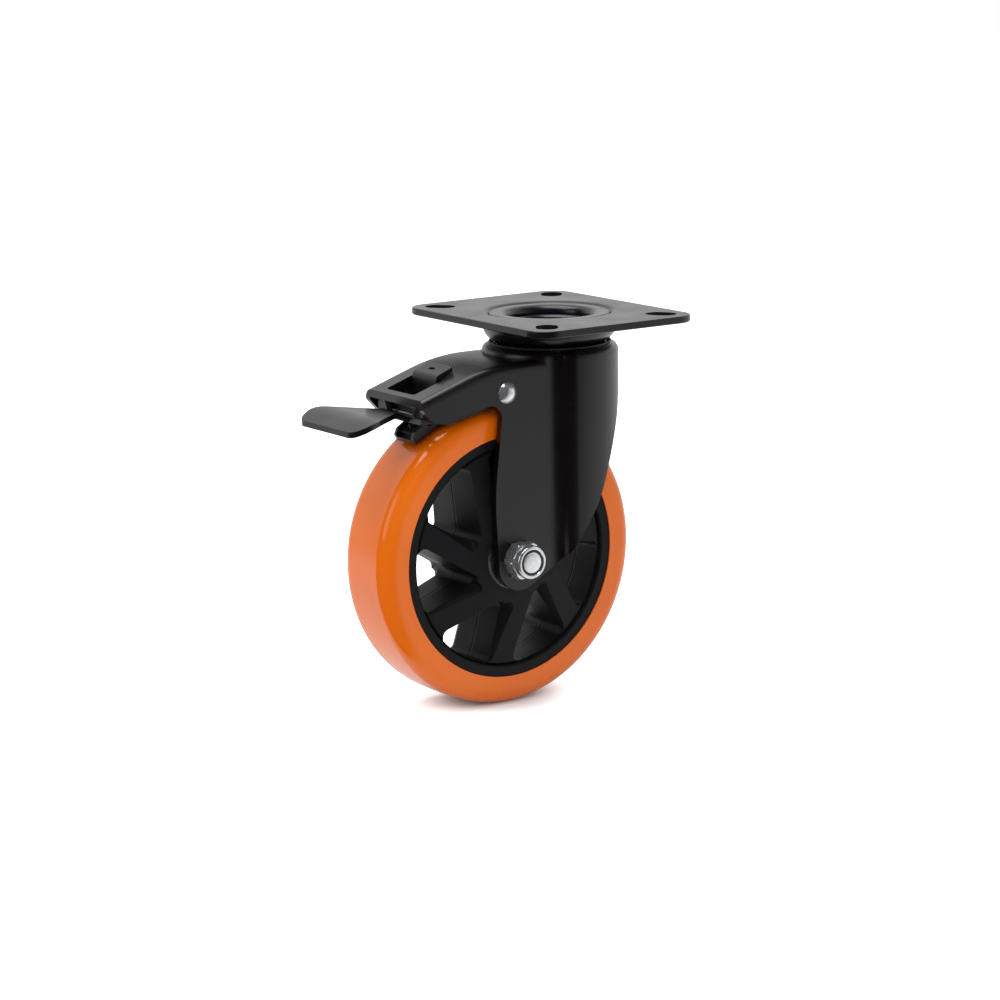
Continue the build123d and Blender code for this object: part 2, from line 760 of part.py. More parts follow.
def lever_side_plate():
    """Side plate from the web forwards and up to the eye on the pivot."""
    back_x = lever_web_front_x - lever_web_length + lever_back_inset
    web_under_z = -pedal_web_drop - pedal_sheet
    top_back_z = -pedal_web_drop + lever_back_height
    eye_x = pivot_x + lever_eye_radius
    eye_top = pivot_z + lever_eye_radius
    eye_under = pivot_z - lever_eye_radius
    eye_round = 0.98 * lever_eye_radius
    corners = [
        (back_x, web_under_z, 0),
        (lever_web_front_x + pedal_sheet, web_under_z, lever_plate_bend_radius / 2),
        (lever_plate_under_x, -lever_plate_under_drop, lever_plate_bend_radius),
        (pivot_x, eye_under, 0),
        (eye_x, eye_under, eye_round),
        (eye_x, eye_top, eye_round),
        (pivot_x, eye_top, 0),
        (lever_plate_under_x, (eye_top + top_back_z) / 2, lever_plate_bend_radius),
        (back_x - lever_back_lean, top_back_z, 0),
    ]
    outline = outlined([(x, z) for x, z, _ in corners], [radius for _, _, radius in corners])
    return Pos(0, lever_plate_outer_y - pedal_sheet, 0) * extrude(Plane.XZ * outline, -pedal_sheet)


def lever_back_flange():
    """Narrow flange turned in from a side plate's back edge and standing on the web."""
    height = lever_back_height + pedal_sheet
    top_inner_y = lever_plate_outer_y - lever_back_top_width
    foot_inner_y = lever_plate_outer_y - lever_back_foot_width
    face = make_face(
        Polyline(
            (foot_inner_y, 0),
            (lever_plate_outer_y, 0),
            (lever_plate_outer_y, height),
            (top_inner_y, height),
            close=True,
        )
    )
    foot_x = lever_web_front_x - lever_web_length + lever_back_inset
    lean = degrees(atan2(lever_back_lean, height))
    flange = extrude(Plane.YZ * face, pedal_sheet)
    return Pos(foot_x, 0, -pedal_web_drop - pedal_sheet) * (Rot(0, -lean, 0) * flange)


def make_push_pin():
    """Cross pin riveted flush in both side plates."""
    return Plane.XZ * Pos(push_pin_x, -push_pin_drop) * Cylinder(push_pin_radius, 2 * lever_plate_outer_y)


def make_spring():
    """Torsion spring round the pivot: one leg lies under the hood's roof, the other under the push pin."""
    coil = Helix(spring_pitch, spring_turns * spring_pitch, spring_mean_radius)
    coil_path = Rot(0, 0, spring_start_angle) * coil
    start = coil_path @ 0
    finish = coil_path @ 1
    coil = sweep(Plane(origin=start, z_dir=coil_path % 0) * Circle(spring_wire_radius), path=coil_path)
    roof_reach = spring_roof_leg
    roof_under = roof_height(pivot_x - roof_reach) - fork_sheet
    roof_under -= spring_wire_radius + spring_roof_clearance
    roof_end = Vector(-roof_reach, pivot_z - roof_under, start.Z)
    pin_under = -push_pin_drop - push_pin_radius - spring_wire_radius - spring_pin_clearance
    pin_end = Vector(push_pin_x - pivot_x - push_pin_radius, pivot_z - pin_under, finish.Z)
    spring = coil + wire_leg(start, roof_end) + wire_leg(finish, pin_end)
    return pivot_frame * Pos(0, 0, spring_inner_y) * spring


def wire_leg(start, end):
    """Straight run of the spring's wire, with a ball at its root that blends it into the coil."""
    run = end - start
    leg = extrude(Plane(origin=start, z_dir=run) * Circle(spring_wire_radius), run.length)
    return leg + Pos(start) * Sphere(1.04 * spring_wire_radius)


# ---- Brake arm and shoe ----

def roof_height(x):
    """Height of the hood's top surface on the middle line, at a place behind the crown."""
    slope = radians(roof_slope_angle)
    bend_end_x = roof_bend_start_x - roof_bend_radius * sin(slope)
    back = roof_bend_start_x - max(x, bend_end_x)
    bend_drop = roof_bend_radius - sqrt(roof_bend_radius**2 - back**2)
    return roof_z - bend_drop - max(bend_end_x - x, 0) * tan(slope)


def shoe_plane():
    """Plane against the tread: its X runs along the tread away from the swivel, its Y away from the axle."""
    angle = radians(shoe_angle)
    out = Vector(cos(angle), 0, sin(angle))
    along = Vector(-sin(angle), 0, cos(angle))
    origin = Vector(axle_x, 0, axle_z) + out * (wheel_radius + shoe_gap)
    return Plane(origin=origin, x_dir=along, z_dir=along.cross(out))


def make_arm():
    """Brake arm: hooked over the front edge of the hood's window, then down and out along the tread."""
    frame = shoe_plane()
    half = arm_sheet / 2
    foot_level = shoe_sheet + half
    foot_run = (frame.origin.X + frame.y_dir.X * foot_level - arm_heel_x) / frame.x_dir.X
    heel = frame.from_local_coords((-foot_run, foot_level, 0))
    toe = frame.from_local_coords((arm_foot_length, foot_level, 0))
    hook_x = window_front_x - arm_window_clearance - half
    step_z = roof_height(hook_x) - fork_sheet / cos(radians(roof_slope_angle))
    lower_x = hook_x + arm_joggle_depth
    middle = FilletPolyline(
        (arm_tab_front_x, roof_height(arm_tab_front_x) + arm_tab_front_clearance + half),
        (hook_x, roof_height(hook_x) + arm_tab_clearance + half),
        (hook_x, step_z),
        (lower_x, step_z - arm_joggle_length),
        (lower_x, -arm_knee_drop),
        (heel.X, heel.Z),
        (toe.X, toe.Z),
        radius=[arm_bend_radius, half, half, arm_heel_radius, arm_heel_radius],
    )
    strip = across(trace(middle, arm_sheet), arm_half_width)
    neck_z = -arm_neck_drop
    shoulder_z = neck_z - arm_shoulder_length
    corners = [
        (arm_half_width, 0, 0),
        (arm_half_width, neck_z, arm_corner_radius),
        (arm_foot_half_width, shoulder_z, arm_corner_radius / 2),
        (arm_foot_half_width, -overall_height, 0),
    ]
    corners += [(-y, z, radius) for y, z, radius in reversed(corners)]
    front = outlined([(y, z) for y, z, _ in corners], [radius for _, _, radius in corners])
    strip &= extrude(Plane.YZ * front, 2 * hood_tail_x)
    slit = Pos(arm_slit_x, arm_slit_y) * Rot(0, 0, 90) * SlotOverall(arm_slit_length, arm_slit_width)
    strip -= extrude(slit, -arm_knee_drop)
    tab_end = strip.edges().filter_by(lambda edge: edge.center().X > arm_tab_front_x - half)
    return fillet(tab_end.filter_by(is_upright), arm_corner_radius) - shoe_rivet_hole()


def is_upright(edge):
    """True for a straight edge that runs through the sheet of the arm's tab."""
    return edge.geom_type == GeomType.LINE and abs((edge @ 1 - edge @ 0).Z) > arm_sheet / 2


def shoe_rivet_hole():
    """Straight hole through arm and shoe for the rivet's shank."""
    return shoe_plane() * (Rot(90, 0, 0) * Cylinder(shoe_rivet_radius, 4 * (shoe_sheet + arm_sheet)))


def make_shoe():
    """Brake shoe: a short channel whose base faces the tread and whose flanges stand up beside the arm."""
    corners = [
        (-shoe_half_length, 0, 0),
        (shoe_half_length, 0, 0),
        (shoe_half_length, shoe_flange_height - shoe_flange_corner, shoe_flange_corner / 2),
        (shoe_half_length - 1.5 * shoe_flange_corner, shoe_flange_height, shoe_flange_corner / 2),
        (-shoe_flange_back_length / 2, shoe_flange_height, shoe_flange_corner / 2),
        (-shoe_flange_back_length, shoe_sheet, shoe_flange_corner / 2),
        (-shoe_half_length, shoe_sheet, 0),
    ]
    flange = outlined([(x, y) for x, y, _ in corners], [radius for _, _, radius in corners])
    block = extrude(flange, shoe_half_width, both=True)
    inner_half = shoe_half_width - shoe_flange_sheet
    channel = Pos(0, shoe_sheet + shoe_flange_height, 0) * Box(
        4 * shoe_half_length, 2 * shoe_flange_height, 2 * inner_half
    )
    return shoe_plane() * (block - channel) - shoe_rivet_hole()


def make_shoe_rivet():
    """Rivet that holds the shoe on the arm's foot: domed on top, short of the face below."""
    seat = shoe_sheet + arm_sheet
    top = seat + shoe_rivet_head_height
    points = [
        (0, shoe_sheet / 4),
        (shoe_rivet_radius, shoe_sheet / 4),
        (shoe_rivet_radius, seat),
        (shoe_rivet_head_radius, seat),
        (shoe_rivet_head_radius - shoe_rivet_head_height / 2, top),
        (0, top),
    ]
    round_over = shoe_rivet_head_height / 2
    return shoe_plane() * (Rot(-90, 0, 0) * turned(points, [0, 0, 0, round_over / 2, round_over, 0]))


# ---- All pieces ----

def build_all():
    """Every piece of the castor by its node's name, in its place."""
    pieces = {
        "top_plate": make_top_plate(),
        "upper_balls": ball_ring(balls_per_race, ball_pitch_radius, ball_radius, upper_ball_z),
        "lower_balls": ball_ring(balls_per_race, ball_pitch_radius, ball_radius, lower_ball_z),
        "kingpin": make_kingpin(),
        "dust_seal": make_seal(),
        "fork": make_fork(),
        "wheel_rim": wheel_frame * make_rim(),
        "tyre": wheel_frame * make_tyre(),
        "spacer_sleeve": wheel_frame * make_sleeve(),
        "axle_bolt": wheel_frame * make_bolt(),
        "axle_nut": wheel_frame * make_nut(),
        "nut_insert": wheel_frame * make_nut_insert(),
        "pivot_rivet": make_rivet(),
        "pivot_spacer_near": make_pivot_spacer(-1),
        "pivot_spacer_far": make_pivot_spacer(1),
        "brake_pedal": make_pedal(),
        "push_pin": make_push_pin(),
        "return_spring": make_spring(),
        "brake_arm": make_arm(),
        "brake_shoe": make_shoe(),
        "shoe_rivet": make_shoe_rivet(),
    }
    for name, side in (("near", 1), ("far", -1)):
        inner, outer, balls, shield = bearing_parts(side)
        pieces["bearing_inner_" + name] = wheel_frame * inner
        pieces["bearing_outer_" + name] = wheel_frame * outer
        pieces["bearing_balls_" + name] = [wheel_frame * ball for ball in balls]
        pieces["bearing_shield_" + name] = wheel_frame * shield
    return pieces


def write_parts(pieces):
    """One STEP file for each node."""
    os.makedirs("parts", exist_ok=True)
    for name, piece in pieces.items():
        whole = Compound(children=piece) if isinstance(piece, list) else piece
        whole.label = name
        export_step(whole, "parts/" + name + ".step")


write_parts(build_all())
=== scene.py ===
import bmesh
import bpy
import json
from math import cos, pi, radians, sin
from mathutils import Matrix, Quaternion, Vector

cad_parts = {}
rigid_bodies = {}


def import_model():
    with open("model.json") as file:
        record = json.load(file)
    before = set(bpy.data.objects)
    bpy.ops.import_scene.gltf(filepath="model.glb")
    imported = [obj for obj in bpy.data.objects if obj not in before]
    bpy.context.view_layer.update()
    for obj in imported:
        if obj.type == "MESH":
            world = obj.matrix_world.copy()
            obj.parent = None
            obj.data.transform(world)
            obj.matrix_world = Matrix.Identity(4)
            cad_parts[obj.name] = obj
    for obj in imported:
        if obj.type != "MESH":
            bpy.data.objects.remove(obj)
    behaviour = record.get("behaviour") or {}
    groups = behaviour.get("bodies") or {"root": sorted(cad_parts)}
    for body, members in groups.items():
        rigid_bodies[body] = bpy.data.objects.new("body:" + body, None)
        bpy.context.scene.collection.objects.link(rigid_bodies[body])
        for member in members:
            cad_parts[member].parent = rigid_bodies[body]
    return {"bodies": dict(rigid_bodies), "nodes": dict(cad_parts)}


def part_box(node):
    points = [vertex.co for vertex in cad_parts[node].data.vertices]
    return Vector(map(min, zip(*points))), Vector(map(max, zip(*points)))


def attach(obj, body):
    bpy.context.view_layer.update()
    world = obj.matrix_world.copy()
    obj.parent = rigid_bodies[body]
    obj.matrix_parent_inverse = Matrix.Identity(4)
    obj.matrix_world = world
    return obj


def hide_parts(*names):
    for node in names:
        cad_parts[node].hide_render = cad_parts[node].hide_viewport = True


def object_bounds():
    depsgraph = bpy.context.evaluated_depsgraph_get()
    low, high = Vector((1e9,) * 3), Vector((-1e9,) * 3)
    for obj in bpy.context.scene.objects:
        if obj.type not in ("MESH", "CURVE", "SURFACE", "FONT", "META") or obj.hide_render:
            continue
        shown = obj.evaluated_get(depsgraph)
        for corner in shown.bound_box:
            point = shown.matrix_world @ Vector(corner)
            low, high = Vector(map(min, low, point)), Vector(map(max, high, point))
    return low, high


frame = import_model()
cad_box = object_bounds()


# ---- Camera ----
# The castor is seen from in front of its near side and a little above its plate.
# A long lens keeps the wheel's ellipse and the plate's edges nearly parallel.

camera_azimuth = radians(-34.71)
camera_elevation = radians(11.64)
camera_roll = radians(-0.83)
camera_place = Vector((-0.7518, -1.0474, 0.1854))
camera_focal_mm = 112.79
camera_sensor_mm = 36.0
camera_reach = 20.0

scene = bpy.context.scene
camera_data = bpy.data.cameras.new("studio_camera")
camera_data.lens = camera_focal_mm
camera_data.sensor_width = camera_sensor_mm
camera_data.clip_end = camera_reach
camera = bpy.data.objects.new("studio_camera", camera_data)
scene.collection.objects.link(camera)
away = Vector((
    sin(camera_azimuth) * cos(camera_elevation),
    -cos(camera_azimuth) * cos(camera_elevation),
    sin(camera_elevation),
))
camera.rotation_mode = "QUATERNION"
camera.rotation_quaternion = away.to_track_quat("Z", "Y") @ Quaternion((0, 0, 1), camera_roll)
camera.location = camera_place
scene.camera = camera
scene.view_settings.view_transform = "Standard"


# ---- Floor and studio light ----
# A plain white floor with a painted glow for the eye, so bright that only the real shadow below
# the wheel stays on it.
# The room is bright behind the castor and dark on the camera's side.
# Soft lamps hang above it, at its left and in front.

wheel_x = -0.032
tread_edge = (-0.062, -0.016, 0)
floor_half = 3.0
floor_white = 0.74
floor_glow = (0.05, 1.0)  # under the wheel, and away from it
floor_glow_reach = (0.012, 0.046)  # from where the wheel stands
floor_gloss_share = 0.3  # of the glow, in gloss
room_away = Vector((0.569, 0.822, 0.0))
room_away_edge = (0.22, 0.34)
room_right = Vector((0.940, -0.342, 0.0))
room_right_edge = (0.30, 1.22)
room_dark = 0.02
room_ambient = 0.62
lamp_aim = Vector((-0.03, 0, -0.07))
lamp_top_place = Vector((-0.20, 0.10, 0.90))
lamp_top_size = 0.8
lamp_top_watts = 9.0
lamp_left_place = Vector((-0.95, 0.10, 0.30))
lamp_left_size = 0.5
lamp_left_watts = 1.2
lamp_front_place = Vector((-0.25, -0.80, 0.55))
lamp_front_size = 0.6
lamp_front_watts = 2.6


def add_node(tree, kind, operation=None):
    """A new shader node, set to its operation if it has one."""
    node = tree.nodes.new("ShaderNode" + kind)
    if operation:
        node.operation = operation
    return node


def wire(tree, source, target):
    tree.links.new(source, target)


def light_math(tree, operation, first, second):
    """One sum of two values, each a socket or a number."""
    node = add_node(tree, "Math", operation)
    for socket, value in zip(node.inputs, (first, second)):
        if isinstance(value, (int, float)):
            socket.default_value = value
        else:
            wire(tree, value, socket)
    return node.outputs[0]


def fade(tree, value, span, ends, shape="SMOOTHSTEP"):
    """Goes from one end to the other while a value crosses its span."""
    node = add_node(tree, "MapRange")
    node.interpolation_type = shape
    for name, number in zip(("From Min", "From Max", "To Min", "To Max"), (*span, *ends)):
        node.inputs[name].default_value = number
    wire(tree, value, node.inputs["Value"])
    return node.outputs["Result"]


def room_fade(tree, direction, side, edge):
    """How bright the room is that way: dark before the first edge, white beyond the second."""
    turn = add_node(tree, "VectorMath", "DOT_PRODUCT")
    turn.inputs[1].default_value = side
    wire(tree, direction, turn.inputs[0])
    return fade(tree, turn.outputs["Value"], edge, (room_dark, 1.0))


def room_brightness(tree, direction):
    """White behind the castor, grey at its right and dark on the camera's side."""
    behind = room_fade(tree, direction, room_away, room_away_edge)
    beside = room_fade(tree, direction, room_right, room_right_edge)
    return light_math(tree, "MAXIMUM", behind, beside)


floor_z = cad_box[0].z
floor_mesh = bpy.data.meshes.new("studio_floor")
floor_corners = [
    (x * floor_half, y * floor_half, 0) for x, y in ((-1, -1), (1, -1), (1, 1), (-1, 1))
]
floor_mesh.from_pydata(floor_corners, [], [(0, 1, 2, 3)])
floor = bpy.data.objects.new("studio_floor", floor_mesh)
floor.location = (wheel_x, 0, floor_z)
scene.collection.objects.link(floor)

floor_finish = bpy.data.materials.new("studio_floor")
floor_finish.use_nodes = True
floor_tree = floor_finish.node_tree
floor_tree.nodes.clear()
floor_path = add_node(floor_tree, "LightPath")

# In gloss, the floor's colour and glow are painted as bright as the room beyond it, seen from
# the tread's edge: a painted reflection, dark on the camera's side.
floor_spot = add_node(floor_tree, "TexCoord")
floor_way = add_node(floor_tree, "VectorMath", "SUBTRACT")
floor_way.inputs[1].default_value = tread_edge
wire(floor_tree, floor_spot.outputs["Object"], floor_way.inputs[0])
floor_direction = add_node(floor_tree, "VectorMath", "NORMALIZE")
wire(floor_tree, floor_way.outputs["Vector"], floor_direction.inputs[0])
floor_mirrored = room_brightness(floor_tree, floor_direction.outputs["Vector"])
floor_plain = light_math(floor_tree, "SUBTRACT", 1.0, floor_path.outputs["Is Glossy Ray"])
floor_level = light_math(floor_tree, "MAXIMUM", floor_plain, floor_mirrored)
floor_paint = add_node(floor_tree, "BsdfDiffuse")
floor_colour = light_math(floor_tree, "MULTIPLY", floor_level, floor_white)
wire(floor_tree, floor_colour, floor_paint.inputs["Color"])

# The painted glow keeps clear of where the wheel stands, so the real shadow shows there, and
# follows it as the fork swivels.
wheel_carrier = frame["bodies"]["swivel_fork"]
wheel_foot = wheel_carrier.matrix_world.inverted() @ Vector((wheel_x, 0, floor_z))
wheel_spot = add_node(floor_tree, "TexCoord")
wheel_spot.object = wheel_carrier
floor_distance = add_node(floor_tree, "VectorMath", "DISTANCE")
floor_distance.inputs[1].default_value = wheel_foot
wire(floor_tree, wheel_spot.outputs["Object"], floor_distance.inputs[0])
floor_fade = fade(floor_tree, floor_distance.outputs["Value"], floor_glow_reach, floor_glow)
floor_gloss = light_math(
    floor_tree, "MULTIPLY", floor_path.outputs["Is Glossy Ray"], floor_mirrored
)
floor_in_gloss = light_math(floor_tree, "MULTIPLY", floor_gloss, floor_gloss_share)
floor_seen = light_math(
    floor_tree, "MAXIMUM", floor_path.outputs["Is Camera Ray"], floor_in_gloss
)
floor_strength = light_math(floor_tree, "MULTIPLY", floor_seen, floor_fade)
floor_shine = add_node(floor_tree, "Emission")
wire(floor_tree, floor_strength, floor_shine.inputs["Strength"])
floor_sum = add_node(floor_tree, "AddShader")
wire(floor_tree, floor_paint.outputs[0], floor_sum.inputs[0])
wire(floor_tree, floor_shine.outputs[0], floor_sum.inputs[1])

# From below, the floor is clear.
floor_side = add_node(floor_tree, "NewGeometry")
floor_clear = add_node(floor_tree, "BsdfTransparent")
floor_mix = add_node(floor_tree, "MixShader")
wire(floor_tree, floor_side.outputs["Backfacing"], floor_mix.inputs[0])
wire(floor_tree, floor_sum.outputs[0], floor_mix.inputs[1])
wire(floor_tree, floor_clear.outputs[0], floor_mix.inputs[2])
floor_out = add_node(floor_tree, "OutputMaterial")
wire(floor_tree, floor_mix.outputs[0], floor_out.inputs["Surface"])
floor_mesh.materials.append(floor_finish)

# The room is white to the eye, graded in gloss, and even as a light on the castor.
world = bpy.data.worlds.new("studio_room")
world.use_nodes = True
scene.world = world
room_tree = world.node_tree
room_tree.nodes.clear()
room_direction = add_node(room_tree, "TexCoord")
room_path = add_node(room_tree, "LightPath")
room_mirrored = light_math(
    room_tree, "MAXIMUM",
    room_path.outputs["Is Glossy Ray"], room_path.outputs["Is Transmission Ray"],
)
room_graded = room_brightness(room_tree, room_direction.outputs["Generated"])
room_image = light_math(room_tree, "MULTIPLY", room_graded, room_mirrored)
room_unmirrored = light_math(room_tree, "SUBTRACT", 1.0, room_mirrored)
room_plain = light_math(room_tree, "MULTIPLY", room_unmirrored, room_ambient)
room_level = light_math(room_tree, "ADD", room_image, room_plain)
room_strength = light_math(
    room_tree, "MAXIMUM", room_path.outputs["Is Camera Ray"], room_level
)
room_light = add_node(room_tree, "Background")
room_light.inputs["Color"].default_value = (1, 1, 1, 1)
wire(room_tree, room_strength, room_light.inputs["Strength"])
room_out = add_node(room_tree, "OutputWorld")
wire(room_tree, room_light.outputs[0], room_out.inputs["Surface"])


def hang_lamp(name, place, size, watts, mirrored=True):
    """A square soft lamp that faces the wheel, and shows in gloss if it is mirrored."""
    lamp_data = bpy.data.lights.new(name, "AREA")
    lamp_data.size = size
    lamp_data.energy = watts
    lamp = bpy.data.objects.new(name, lamp_data)
    scene.collection.objects.link(lamp)
    lamp.rotation_mode = "QUATERNION"
    lamp.rotation_quaternion = (place - lamp_aim).to_track_quat("Z", "Y")
    lamp.location = place
    lamp.visible_glossy = mirrored


hang_lamp("lamp_top", lamp_top_place, lamp_top_size, lamp_top_watts)
hang_lamp("lamp_left", lamp_left_place, lamp_left_size, lamp_left_watts)
hang_lamp("lamp_front", lamp_front_place, lamp_front_size, lamp_front_watts, mirrored=False)


# ---- Top plate ----
# Pressed from 3 mm steel sheet, bowl and all, then baked in satin black paint.
# The paint lies a little uneven, so its gloss wanders and small dimples catch the light.
# Four bolts through its slots fix it under whatever the castor carries.

plate_black = (0.0030, 0.0026, 0.0024)
plate_black_thin = (0.0056, 0.0049, 0.0044)
plate_roughness = (0.27, 0.36)
paint_patch_scale = 55.0
paint_dimple_scale = 1500.0
paint_dimple_height = 0.000006
cloud_span = (0.3, 0.7)


def shader_input(material, name):
    return material.node_tree.nodes["Principled BSDF"].inputs[name]


def grain(material, scale, detail=2.0):
    """Noise over the piece, with a number of cells in each metre. Returns its value socket."""
    tree = material.node_tree
    place = add_node(tree, "TexCoord")
    noise = add_node(tree, "TexNoise")
    noise.inputs["Scale"].default_value = scale
    noise.inputs["Detail"].default_value = detail
    wire(tree, place.outputs["Object"], noise.inputs["Vector"])
    return noise.outputs["Fac"]


def clouded_finish(name, clouds, shades, roughness, metallic=0.0, detail=3.0):
    """A finish whose colour and gloss wander together, in so many clouds to the metre."""
    material = bpy.data.materials.new(name)
    material.use_nodes = True
    shader_input(material, "Metallic").default_value = metallic
    tree = material.node_tree
    source = grain(material, clouds, detail)
    ramp = add_node(tree, "ValToRGB")
    for stop, position, shade in zip(ramp.color_ramp.elements, cloud_span, shades):
        stop.position = position
        stop.color = (*shade, 1)
    wire(tree, source, ramp.inputs["Fac"])
    wire(tree, ramp.outputs["Color"], shader_input(material, "Base Color"))
    gloss = fade(tree, source, cloud_span, roughness, "LINEAR")
    wire(tree, gloss, shader_input(material, "Roughness"))
    return material


def dimple(material, source, height):
    """Relief of a given height in metres."""
    bump = add_node(material.node_tree, "Bump")
    bump.inputs["Distance"].default_value = height
    bump.inputs["Strength"].default_value = 1.0
    wire(material.node_tree, source, bump.inputs["Height"])
    wire(material.node_tree, bump.outputs["Normal"], shader_input(material, "Normal"))


def dress(material, *names):
    """Puts a finish on CAD nodes, whose shape stays as it is."""
    for name in names:
        for slot in frame["nodes"][name].material_slots:
            slot.material = material


plate_paint = clouded_finish(
    "satin_black_plate", paint_patch_scale, (plate_black, plate_black_thin), plate_roughness
)
dimple(plate_paint, grain(plate_paint, paint_dimple_scale), paint_dimple_height)
dress(plate_paint, "top_plate")


# ---- Kingpin and ball races ----
# The hollow kingpin is pressed from the same sheet and swaged over, with a bead in its mouth.
# It shows a finer, bluer black than the plate. Two rings of hardened balls run between it,
# the plate's bowl and the fork's crown, behind a rubber seal; their steel is written dark, a
# painted shade.

kingpin_black = (0.0014, 0.0017, 0.0038)
kingpin_black_thin = (0.0026, 0.0030, 0.0060)
kingpin_roughness = (0.24, 0.32)
swivel_middle = Vector((0, 0, 0))
swivel_up = Vector((0, 0, 1))
bead_outline_mm = (
    (17.85, -4.3), (17.3, -4.5), (16.7, -4.9), (16.35, -5.4),
    (16.3, -5.9), (16.5, -6.4), (17.0, -6.8), (17.85, -7.0),
)
turned_segments = 96
sharp_angle = radians(28)
weld_distance = 0.000001
hexagon_side = radians(60)
# The balls' steel is written dark, a painted shade for the shaded races they run in.
ball_shaded_dark = (0.09, 0.088, 0.082)
ball_shaded_pale = (0.16, 0.158, 0.150)
ball_roughness = (0.22, 0.34)
ball_cloud_scale = 900.0
ball_cloud_detail = 2.0
seal_black = (0.010, 0.010, 0.011)
seal_black_thin = (0.015, 0.015, 0.016)
seal_roughness = (0.5, 0.65)
seal_cloud_scale = 400.0
seal_cloud_detail = 3.0
seal_dimple_height = 0.00002

kingpin_paint = clouded_finish(
    "fine_black_kingpin", paint_patch_scale, (kingpin_black, kingpin_black_thin),
    kingpin_roughness,
)
dimple(kingpin_paint, grain(kingpin_paint, paint_dimple_scale), paint_dimple_height)
dress(kingpin_paint, "kingpin")


def turned_piece(name, outline_mm, foot, along, material, body, across_flats=None):
    """A piece turned from its outline, given as radius and height from a foot, along Z or -Y.

    Where it has a size across flats, a hexagon cuts what stands out of it.
    """
    verts = []
    for radius_mm, height_mm in outline_mm:
        for step in range(turned_segments):
            angle = 2 * pi * step / turned_segments
            radius = radius_mm / 1000
            if across_flats:
                from_flat = angle % hexagon_side - hexagon_side / 2
                radius = min(radius, across_flats / 2 / cos(from_flat))
            across = Vector((radius * cos(angle), 0, 0))
            if along.z:
                across.y = radius * sin(angle)
            else:
                across.z = radius * sin(angle)
            verts.append(foot + across + along * (height_mm / 1000))
    rows = len(outline_mm)
    faces = []
    for row in range(rows):
        near, far = row * turned_segments, (row + 1) % rows * turned_segments
        for step in range(turned_segments):
            turn = (step + 1) % turned_segments
            faces.append((near + step, near + turn, far + turn, far + step))
    mesh = bpy.data.meshes.new(name)
    mesh.from_pydata(verts, [], faces)
    form = bmesh.new()
    form.from_mesh(mesh)
    bmesh.ops.remove_doubles(form, verts=form.verts, dist=weld_distance)
    bmesh.ops.recalc_face_normals(form, faces=form.faces)
    form.to_mesh(mesh)
    form.free()
    for face in mesh.polygons:
        face.use_smooth = True
    mesh.set_sharp_from_angle(angle=sharp_angle)
    mesh.materials.append(material)
    piece = bpy.data.objects.new(name, mesh)
    scene.collection.objects.link(piece)
    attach(piece, body)
    return piece


turned_piece(
    "kingpin_bead", bead_outline_mm, swivel_middle, swivel_up, kingpin_paint,
    "swivel_fork",
)

ball_steel = clouded_finish(
    "shaded_ball_steel", ball_cloud_scale, (ball_shaded_dark, ball_shaded_pale), ball_roughness,
    metallic=1.0, detail=ball_cloud_detail,
)
dress(ball_steel, "upper_balls", "lower_balls", "bearing_balls_near", "bearing_balls_far")

seal_rubber = clouded_finish(
    "matt_black_seal", seal_cloud_scale, (seal_black, seal_black_thin), seal_roughness,
    detail=seal_cloud_detail,
)
dimple(seal_rubber, grain(seal_rubber, seal_cloud_scale, seal_cloud_detail), seal_dimple_height)
dress(seal_rubber, "dust_seal")


# ---- Fork ----
# One sheet pressed into crown, hood and two legs, in the same baked black as the plate.
# The press draws the sheet smooth, so its dimples are wider and lower than the plate's.
# The kingpin's swaged foot holds it under the balls.

fork_black = (0.0032, 0.0016, 0.0026)
fork_black_thin = (0.0046, 0.0028, 0.0039)
fork_roughness = (0.25, 0.34)
fork_patch_scale = 38.0
fork_dimple_scale = 900.0
fork_dimple_height = 0.000004

fork_paint = clouded_finish(
    "satin_black_fork", fork_patch_scale, (fork_black, fork_black_thin), fork_roughness
)
dimple(fork_paint, grain(fork_paint, fork_dimple_scale), fork_dimple_height)
dress(fork_paint, "fork")


# ---- Wheel rim ----
# Moulded in black glass-filled nylon, both faces alike, with seven windows between its spokes.
# The mould leaves a fine matt grain, and its halves leave a seam round each window's middle:
# a dent in the relief, and a darker colour that is painted shade of that crease.

rim_black = (0.0055, 0.0053, 0.0064)
rim_black_pale = (0.0085, 0.0082, 0.0096)
rim_roughness = (0.42, 0.55)
rim_gloss = 0.14
rim_flow_scale = 70.0
rim_flow_detail = 4.0
rim_grain_scale = 2600.0
rim_grain_detail = 3.0
rim_grain_height = 0.000012
seam_half_width = (0.00022, 0.00062)
seam_depth = 0.0007
seam_shade = 0.1

rim_plastic = clouded_finish(
    "moulded_black_rim", rim_flow_scale, (rim_black, rim_black_pale), rim_roughness,
    detail=rim_flow_detail,
)
shader_input(rim_plastic, "Specular IOR Level").default_value = rim_gloss
dimple(rim_plastic, grain(rim_plastic, rim_grain_scale, rim_grain_detail), rim_grain_height)

rim_tree = rim_plastic.node_tree
seam_place = add_node(rim_tree, "TexCoord")
seam_split = add_node(rim_tree, "SeparateXYZ")
seam_away = add_node(rim_tree, "Math", "ABSOLUTE")
wire(rim_tree, seam_place.outputs["Object"], seam_split.inputs["Vector"])
wire(rim_tree, seam_split.outputs["Y"], seam_away.inputs[0])
seam_rise = fade(rim_tree, seam_away.outputs[0], seam_half_width, (0.0, 1.0))
seam_dent = add_node(rim_tree, "Bump")
seam_dent.inputs["Distance"].default_value = seam_depth
wire(rim_tree, seam_rise, seam_dent.inputs["Height"])
wire(rim_tree, seam_dent.outputs["Normal"], rim_tree.nodes["Bump"].inputs["Normal"])
